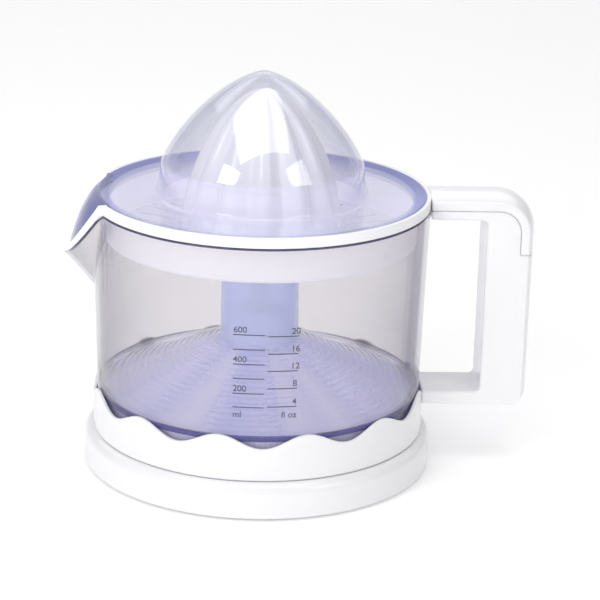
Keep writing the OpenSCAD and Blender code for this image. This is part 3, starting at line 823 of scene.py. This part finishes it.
@dataclass
class Handle:
    """The white handle and the strip over its arm and corner."""

    finishes: Finishes
    width: float = 27.0
    bar_in: float = 100.3
    bar_out: float = 119.6
    crown: float = 3.0
    arm_top: float = 125.1
    arm_low: float = 117.0
    foot_top: float = 36.0
    foot_low: float = 30.0
    split: float = 4.0
    strip_end: float = 101.0
    gap: float = 0.1
    hole_r: float = 2.5
    corner: float = 14.0

    @property
    def corner_mid(self) -> Point:
        """Middle of the outer corner's arc."""
        return self.bar_out - self.corner, self.arm_top - self.corner

    def outer_path(self, start: float, stop_z: float) -> list[Point]:
        """The outer edge from the arm's root round the corner down to stop_z."""
        cx, cz = self.corner_mid
        path = Maker.line((start, self.arm_top), (cx, self.arm_top), 8)
        path += Maker.arc(cx, cz, self.corner, 90, 0, 14)
        path += Maker.line((self.bar_out, cz - 2), (self.bar_out, stop_z), 10)
        path += [(self.bar_out, stop_z)]
        return path

    def inner_split(self, start: float, stop_z: float, gap: float) -> list[Point]:
        """The line between handle and strip, from stop_z back to the arm's root."""
        r = self.corner - self.split - gap
        cx, cz = self.corner_mid
        path = Maker.line((cx + r, stop_z), (cx + r, cz), 3)
        path += Maker.arc(cx, cz, r, 0, 90, 12)
        path += [(start, self.arm_top - self.split - gap)]
        return path

    def slab(self, outline: Profile) -> BMesh:
        """Give a side outline its width, in slices."""
        bm = bmesh.new()
        half = self.width / 2
        verts = [bm.verts.new((x * MM, -half * MM, z * MM)) for x, z in outline]
        face = bm.faces.new(verts)
        cuts = 14
        for cut in range(cuts):
            made = bmesh.ops.extrude_face_region(bm, geom=[face])
            moved = Maker.fresh(made, BMVert)
            bmesh.ops.translate(bm, verts=moved, vec=(0, self.width / cuts * MM, 0))
            if cut:
                bmesh.ops.delete(bm, geom=[face], context="FACES_ONLY")
            face = Maker.fresh(made, BMFace)[0]
        return bm

    def swell(self, bm: BMesh) -> None:
        """Swell the outer face across the handle's width."""
        cx, cz = self.corner_mid
        half = self.width / 2
        for v in bm.verts:
            x, y, z = v.co / MM
            lift = self.crown * (1 - (y / half) ** 2)
            if x > cx and z > cz:
                d = Vector((x - cx, z - cz))
                if d.length > self.corner - 0.05:
                    d.normalize()
                    v.co += Vector((d.x, 0, d.y)) * lift * MM
            elif z > self.arm_top - 0.05:
                v.co.z += lift * MM
            elif x > self.bar_out - 0.05:
                v.co.x += lift * MM

    def finish(self, bm: BMesh, name: str, node: str) -> None:
        """Round the long edges and store the piece."""
        Maker.outward(bm)
        limit = math.radians(50)
        sharp = [e for e in bm.edges if len(e.link_faces) == 2 and e.calc_face_angle(0.0) > limit]
        bmesh.ops.bevel(
            bm,
            geom=sharp,
            offset=0.9 * MM,
            segments=3,
            profile=0.5,
            affect="EDGES",
            material=-1,
            clamp_overlap=True,
        )
        Maker.soften(bm, 40)
        Maker.piece(bm, name, Body.JUG, self.finishes.pick(Finish.WHITE), "white_abs", [node])

    def build(self) -> None:
        """Build the handle and its strip."""
        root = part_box("handle_cover")[0].x / MM + 0.15
        strip = self.outer_path(root, self.strip_end) + self.inner_split(root, self.strip_end, 0.0)
        bm = self.slab(strip)
        self.swell(bm)
        self.finish(bm, "handle_top_strip", "handle_cover")
        foot_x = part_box("handle_body")[0].x / MM
        low_out = [(self.bar_out, self.strip_end - self.gap)]
        top, bottom = self.strip_end - 4, self.foot_low + 4
        low_out += Maker.line((self.bar_out, top), (self.bar_out, bottom), 10)
        low_out += Maker.arc(self.bar_out - 4, self.foot_low + 4, 4, 0, -90, 6)
        low_out += Maker.line((self.bar_out - 6, self.foot_low), (foot_x, self.foot_low), 6)
        low_out += [(foot_x, self.foot_low), (foot_x, self.foot_top)]
        r = self.hole_r
        low_out += Maker.line((foot_x + 2, self.foot_top), (self.bar_in - r, self.foot_top), 6)
        low_out += Maker.arc(self.bar_in - r, self.foot_top + r, r, -90, 0, 6)
        low_out += Maker.line((self.bar_in, self.foot_top + 6), (self.bar_in, self.arm_low - r), 8)
        low_out += Maker.arc(self.bar_in - r, self.arm_low - r, r, 0, 90, 8)
        low_out += [(root, self.arm_low)]
        split = self.inner_split(root, self.strip_end - self.gap, self.gap)
        bm = self.slab(low_out + split[::-1])
        self.swell(bm)
        self.finish(bm, "handle_bar", "handle_body")


@dataclass
class Strainer:
    """The white strainer tray and its strip along the pouring lip."""

    finishes: Finishes
    lip: PouringLip
    wall_r: float = 70.0
    floor_z: float = 104.5
    top_z: float = 126.3
    strip_t: float = 2.2
    slots: int = 36
    steps: int = 216

    def build_tray(self, bm: BMesh) -> None:
        """Spin the wall, the slotted floor and the chimney as one shell."""
        outer, low = self.wall_r - 0.05, self.floor_z
        profile: list[Point] = [(outer, 122.9)]
        profile += Maker.line((outer, 121), (outer, low + 3), 4)
        profile += Maker.arc(outer - 2, low + 2, 2.0, 0, -90, 5)
        profile += Maker.line((66, low), (23, low), 14)
        profile += Maker.arc(21.0, low + 2.3, 2.3, -90, -180, 5)
        profile += [(18.7, 111.0)] + Maker.arc(17.7, 111.2, 1.0, 0, 90, 4) + [(9.3, 112.2)]
        Maker.lathe(bm, profile, self.steps, closed=False)
        holes = []
        for face in bm.faces:
            mid = face.calc_center_median() / MM
            r = mid.xy.length
            if abs(mid.z - low) < 0.05 and 41 < r < 63:
                column = math.degrees(math.atan2(mid.y, mid.x)) % 360
                if int(column / (360 / self.steps)) % (self.steps // self.slots) == 0:
                    holes.append(face)
        bmesh.ops.delete(bm, geom=holes, context="FACES")
        Maker.outward(bm)
        bmesh.ops.solidify(bm, geom=bm.faces[:], thickness=1.8 * MM)

    def build_rim(self, bm: BMesh) -> None:
        """Spin the rim with its ledge, leaving the lip open."""
        r, z0, z1 = self.lip.rim_r, self.lip.rim_z + 0.25, self.top_z
        rim = r - 2.0
        profile: list[Point] = [(self.wall_r - 0.4, z0), (r - 0.3, z0), (r, z0 + 0.3)]
        profile += [(r, z1 - 0.7)] + Maker.arc(r - 0.6, z1 - 0.6, 0.6, 0, 90, 4)
        profile += Maker.arc(rim + 0.5, z1 - 0.5, 0.5, 90, 180, 4)
        profile += [(rim, 123.3), (rim - 0.3, 123.0), (self.wall_r - 1.9, 123.0)]
        profile += [(self.wall_r - 1.9, 122.0)]
        half = math.radians(self.lip.half_turn)
        spun = TAU - 2 * half
        verts = [bm.verts.new((p[0] * MM, 0, p[1] * MM)) for p in profile]
        start = Matrix.Rotation(math.pi + half, 4, "Z")
        bmesh.ops.transform(bm, matrix=start, verts=verts)
        cap = bm.faces.new(verts)
        bmesh.ops.spin(
            bm, geom=[cap], cent=(0, 0, 0), axis=(0, 0, 1), angle=spun, steps=164, use_merge=False
        )

    def build_strip(self, bm: BMesh) -> None:
        """Sweep the strip that follows the lip's edge, tapering to the tip."""
        n = 44
        lip = self.lip
        section = []
        for i in range(n + 1):
            turn = -lip.half_turn + 2 * lip.half_turn * i / n
            outer, inner = lip.edge(turn), lip.edge(turn, self.strip_t)
            inner.z = outer.z
            lift = Vector((0, 0, 0.25))
            up = lift + Vector((0, 0, lip.strip_height(turn)))
            section.append([outer + lift, inner + lift, inner + up, outer + up])
        first = [bm.verts.new(p * MM) for p in section[0]]
        face = bm.faces.new(first)
        for points in section[1:]:
            made = bmesh.ops.extrude_face_region(bm, geom=[face])
            face = Maker.fresh(made, BMFace)[0]
            for vert, point in self.matched(face, points):
                vert.co = point * MM

    @staticmethod
    def matched(face: BMFace, points: Sequence[Vector]) -> list[tuple[BMVert, Vector]]:
        """Pair a face's corners with the four points of the next section, each with its nearest."""
        corners = [vert.co / MM for vert in face.verts]
        starts = range(4)
        orders = [[points[(k + way * i) % 4] for i in range(4)] for way in (1, -1) for k in starts]
        nearest = min(orders, key=lambda o: sum((a - b).length for a, b in zip(corners, o)))
        return list(zip(face.verts, nearest))

    def build(self) -> None:
        """Build the strainer as one piece."""
        bm = bmesh.new()
        self.build_tray(bm)
        other = bmesh.new()
        self.build_rim(other)
        self.build_strip(other)
        inside = [
            f
            for f in other.faces
            if len(f.edges) == 4 and all(len(e.link_faces) > 2 for e in f.edges)
        ]
        bmesh.ops.delete(other, geom=inside, context="FACES_ONLY")
        Maker.outward(other)
        mesh = bpy.data.meshes.new("rim")
        other.to_mesh(mesh)
        other.free()
        bm.from_mesh(mesh)
        bpy.data.meshes.remove(mesh)
        wear = [Finish.STRAINER, Finish.STRAINER_WALL_PAINTED_GLOW]
        # Faces of the outer wall under the rim take the glowing white, painted light.
        for face in bm.faces:
            mid = face.calc_center_median() / MM
            if mid.z < 121.6 and mid.xy.length > 67.3:
                face.material_index = wear.index(Finish.STRAINER_WALL_PAINTED_GLOW)
        Maker.soften(bm, 38)
        white = self.finishes.pick(*wear)
        Maker.piece(bm, "strainer_white", Body.STRAINER, white, "white_abs", ["strainer_tray"])


@dataclass
class Reamer:
    """The ribbed reamer."""

    finishes: Finishes
    rim_r: float = 36.0
    low_z: float = 110.0
    top_z: float = 173.0
    ribs: int = 12
    steps: int = 240

    def radius(self, z: float) -> float:
        """Radius over the ribs at height z."""
        t = (z - self.low_z) / (self.top_z - self.low_z)
        return self.rim_r * (1 - min(t, 1.0) ** 1.7) ** 0.6

    def build(self) -> None:
        """Spin the reamer and press the flutes into it."""
        n = 40
        tall = self.top_z - self.low_z
        zs = [self.low_z + tall * math.sin(math.pi / 2 * i / n) for i in range(n)]
        profile = [(self.radius(z), z) for z in zs] + [(0.0, self.top_z)]
        inner = [(self.radius(z) - 4.4, z - 1.6) for z in reversed(zs) if self.radius(z) > 9]
        rim = [(self.rim_r + 1.0, self.low_z), (self.rim_r + 1.0, self.low_z + 1.6)]
        bm = bmesh.new()
        chain = [(self.rim_r - 3.5, self.low_z)] + rim + profile + [(0.0, inner[0][1])] + inner[:-1]
        Maker.lathe(bm, chain, self.steps)
        for v in bm.verts:
            r, z = v.co.xy.length / MM, v.co.z / MM
            if r < 0.05 or z < self.low_z + 1.7 or r < self.radius(z) - 1.5:
                continue
            turn = math.atan2(v.co.y, v.co.x)
            wave = abs(math.cos(self.ribs / 2 * turn))
            grow = min(1.0, (z - self.low_z - 1.7) / 6)
            depth = 0.14 * (1 - wave**1.3) * grow
            v.co.x *= 1 - depth
            v.co.y *= 1 - depth
        Maker.outward(bm)
        Maker.soften(bm, 60)
        white = self.finishes.pick(Finish.REAMER)
        Maker.piece(bm, "ribbed_reamer", Body.REAMER, white, "reamer_white", ["reamer"])


@dataclass
class Cover:
    """The clear domed cover with its tongue."""

    finishes: Finishes
    lip: PouringLip
    neck_r: float = 46.5
    crease_z: float = 139.5
    brim_r: float = 73.3
    plate_z: float = 125.3
    crown: float = 3.7
    steps: int = 180

    def dome(self, z: float) -> float:
        """Outer radius of the dome at height z."""
        return 50.25 * max(0.0, 1 - ((z - 120.2) / 60.57) ** 1.695) ** 0.704

    def build_shell(self, bm: BMesh) -> None:
        """Spin the brim, the neck and the dome."""
        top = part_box("dust_cover")[1].z / MM
        t = 1.8
        n = 36
        out: list[Point] = []
        out += [(self.neck_r - t, 123.6), (self.neck_r - t + 0.3, 123.3)]
        out += Maker.line((50, 123.3), (self.brim_r - 0.3, 123.3), 4)
        out += [(self.brim_r - 0.3, 123.3), (self.brim_r, 123.6), (self.brim_r, 126.0)]
        out += [(self.brim_r - 0.3, 126.3), (72.3, 126.3), (68.8, self.plate_z + 0.05)]
        out += [(68.3, self.plate_z)]
        out += Maker.line((66, self.plate_z), (self.neck_r + 3.4, self.plate_z), 4)
        out += Maker.arc(self.neck_r + 3.1, self.plate_z + 3.2, 3.2, 270, 184, 8)
        out += Maker.line((self.neck_r - 0.3, 129.5), (45.1, self.crease_z), 5)
        out += [(45.04, self.crease_z)]
        span = top - self.crease_z
        zs = [self.crease_z + span * math.sin(math.pi / 2 * i / n) for i in range(1, n)]
        out += [(self.dome(z), z) for z in zs] + [(0.0, top)]
        inner_top = top - 2.2
        rise = inner_top - self.crease_z
        zi = [self.crease_z + rise * math.sin(math.pi / 2 * i / n) for i in range(n)]
        back = [(self.dome(z + 0.6) - t, z) for z in zi if self.dome(z + 0.6) > t + 0.4]
        out += [(0.0, inner_top)] + back[::-1]
        out += Maker.line((45.0 - t, self.crease_z - 1.0), (self.neck_r - t, 124.4), 4)
        Maker.lathe(bm, out, self.steps)

    def build_tongue(self, bm: BMesh) -> None:
        """Make the crowned, pointed tongue that lies in the pouring lip."""
        lip = self.lip
        across, along = 28, 14
        limit = lip.half_turn * 0.95
        root = self.brim_r - 1.2
        made = bmesh.ops.create_grid(bm, x_segments=across, y_segments=along, size=1.0)["verts"]
        faces = list({f for v in made for f in v.link_faces})
        for v in made:
            side, out = v.co.x, (v.co.y + 1) / 2
            turn = side * limit
            a = math.radians(turn)
            start = Vector((-root * math.cos(a), root * math.sin(a), self.plate_z + 0.9))
            end = lip.edge(turn, 2.6)
            end.z = min(end.z + lip.strip_height(turn) + 0.45, start.z)
            crown = self.crown * (4 * out * (1 - out)) ** 0.6 * (1.15 - 0.5 * out) * (1 - side**2)
            lift = Vector((-0.78, 0, 0.62)) * crown
            v.co = (start.lerp(end, out) + lift) * MM
        bmesh.ops.recalc_face_normals(bm, faces=faces)
        if sum(f.normal.z for f in faces) < 0:
            bmesh.ops.reverse_faces(bm, faces=faces)
        bmesh.ops.solidify(bm, geom=faces, thickness=1.6 * MM)

    def build(self) -> None:
        """Build the cover as one piece."""
        bm = bmesh.new()
        self.build_shell(bm)
        wear = [Finish.DOME, Finish.BRIM, Finish.RING, Finish.TONGUE]
        for face in bm.faces:
            mid = face.calc_center_median() / MM
            if mid.xy.length > 68.5:
                face.material_index = wear.index(Finish.RING)
            elif mid.z < self.crease_z:
                face.material_index = wear.index(Finish.BRIM)
        shell = set(bm.faces)
        self.build_tongue(bm)
        for face in bm.faces:
            if face not in shell:
                face.material_index = wear.index(Finish.TONGUE)
        Maker.outward(bm)
        Maker.soften(bm, 28)
        blue = self.finishes.pick(*wear)
        Maker.piece(bm, "clear_domed_cover", Body.COVER, blue, "blue_clear", ["dust_cover"])


@dataclass
class Studio:
    """Camera, floor and lamps."""

    finishes: Finishes
    target: tuple[float, float, float] = (0.0, 0.0, 0.09315)
    distance: float = 1.035
    azimuth: float = -2.0
    elevation: float = 17.284
    roll: float = 1.1978
    lens: float = 137.79
    aim_right: float = 0.01712
    aim_down: float = 0.01703

    def build_camera(self) -> None:
        """Place the camera, rolled a little, with the press left of and above its axis."""
        a, e = math.radians(self.azimuth), math.radians(self.elevation)
        back = Vector((math.sin(a) * math.cos(e), -math.cos(a) * math.cos(e), math.sin(e)))
        place = Vector(self.target) + back * self.distance
        ahead = -back
        right = Vector((math.cos(a), math.sin(a), 0.0))
        up = right.cross(ahead)
        r = math.radians(self.roll)
        right, up = right * math.cos(r) + up * math.sin(r), up * math.cos(r) - right * math.sin(r)
        ahead = (ahead + right * self.aim_right - up * self.aim_down).normalized()
        right = (right - ahead * right.dot(ahead)).normalized()
        up = right.cross(ahead)
        data = bpy.data.cameras.new("camera")
        data.lens = self.lens
        data.sensor_width = 36.0
        data.clip_start, data.clip_end = 0.05, 20.0
        camera = bpy.data.objects.new("camera", data)
        turn = Matrix((right, up, -ahead)).transposed().to_4x4()
        camera.matrix_world = Matrix.Translation(place) @ turn
        bpy.context.scene.collection.objects.link(camera)
        bpy.context.scene.camera = camera

    def lamp(
        self,
        name: str,
        place: Vector,
        size: tuple[float, float],
        power: float,
        aim: Vector,
        mirrored: bool = True,
    ) -> None:
        """Add a soft rectangular lamp.

        Args:
            name: its name.
            place: where it stands.
            size: its width and height.
            power: its power in watts.
            aim: the point that it faces.
            mirrored: whether it shows in reflections.
        """
        data = bpy.data.lights.new(name, "AREA")
        data.shape = "RECTANGLE"
        data.size, data.size_y = size
        data.energy = power
        lamp = bpy.data.objects.new(name, data)
        lamp.matrix_world = Matrix.Translation(place) @ (
            (aim - place).to_track_quat("-Z", "Y").to_matrix().to_4x4()
        )
        lamp.visible_glossy = mirrored
        bpy.context.scene.collection.objects.link(lamp)

    def build_floor(self) -> None:
        """Lay a plain pale floor that curves up far behind the press."""
        bm = bmesh.new()
        verts = [bm.verts.new((-4.0, y, 0.0)) for y in (-3.0, 2.2)]
        for i in range(1, 9):
            a = math.pi / 2 * i / 8
            verts.append(bm.verts.new((-4.0, 2.2 + 0.8 * math.sin(a), 0.8 * (1 - math.cos(a)))))
        verts.append(bm.verts.new((-4.0, 3.0, 4.0)))
        edges = [bm.edges.new(p) for p in zip(verts, verts[1:])]
        made = bmesh.ops.extrude_edge_only(bm, edges=edges)
        moved = Maker.fresh(made, BMVert)
        bmesh.ops.translate(bm, verts=moved, vec=(8.0, 0, 0))
        for face in bm.faces:
            face.smooth = True
        mesh = bpy.data.meshes.new("floor")
        bm.to_mesh(mesh)
        bm.free()
        mesh.materials.append(*self.finishes.pick(Finish.PAPER))
        floor = bpy.data.objects.new("floor", mesh)
        bpy.context.scene.collection.objects.link(floor)

    def build(self) -> None:
        """Set the scene up."""
        self.build_camera()
        self.build_floor()
        centre = Vector((0.0, 0.0, 0.12))
        above = Vector((-0.13, 0.0, 0.12))
        self.lamp("overhead_box", Vector((-0.09, -0.22, 1.33)), (1.25, 1.05), 8.0, above)
        self.lamp("left_box", Vector((-0.96, -0.92, 0.99)), (0.52, 0.56), 4.8, centre)
        self.lamp("right_box", Vector((0.97, -0.92, 0.99)), (0.6, 0.72), 3.2, centre)
        self.lamp("front_box", Vector((-0.8, -1.9, 0.5)), (1.4, 0.9), 14.0, centre, mirrored=False)
        self.lamp("back_box", Vector((0.0, 1.7, 1.6)), (3.2, 1.3), 14.0, Vector((0, 1.3, 0)))
        world = bpy.data.worlds.new("studio")
        world.use_nodes = True
        sky = world.node_tree.nodes["Background"]
        sky.inputs["Color"].default_value = (0.98, 0.98, 1.0, 1.0)
        sky.inputs["Strength"].default_value = 0.27
        scene = bpy.context.scene
        scene.world = world
        scene.view_settings.view_transform = "Standard"
        scene.cycles.transparent_max_bounces = 64


def dress_nodes(finishes: Finishes) -> None:
    """Give each CAD node that still shows the finish of its record slot."""
    slots = {s["node"]: s["material_slot"] for s in frame["record"]["subparts"]}
    for name, obj in frame["nodes"].items():
        material = finishes.of_slot(slots[name])
        for i in range(len(obj.material_slots)):
            obj.material_slots[i].material = material
        if not obj.material_slots:
            obj.data.materials.append(material)


def main() -> None:
    """Build the press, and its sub-assemblies in order."""
    logging.basicConfig(level=logging.INFO, format="%(message)s")
    finishes = Finishes()
    lip = PouringLip()
    Studio(finishes).build()
    dress_nodes(finishes)
    BaseUnit(finishes).build()
    Jug(finishes, lip).build()
    Handle(finishes).build()
    Strainer(finishes, lip).build()
    Reamer(finishes).build()
    Cover(finishes, lip).build()


if __name__ == "__main__":
    main()
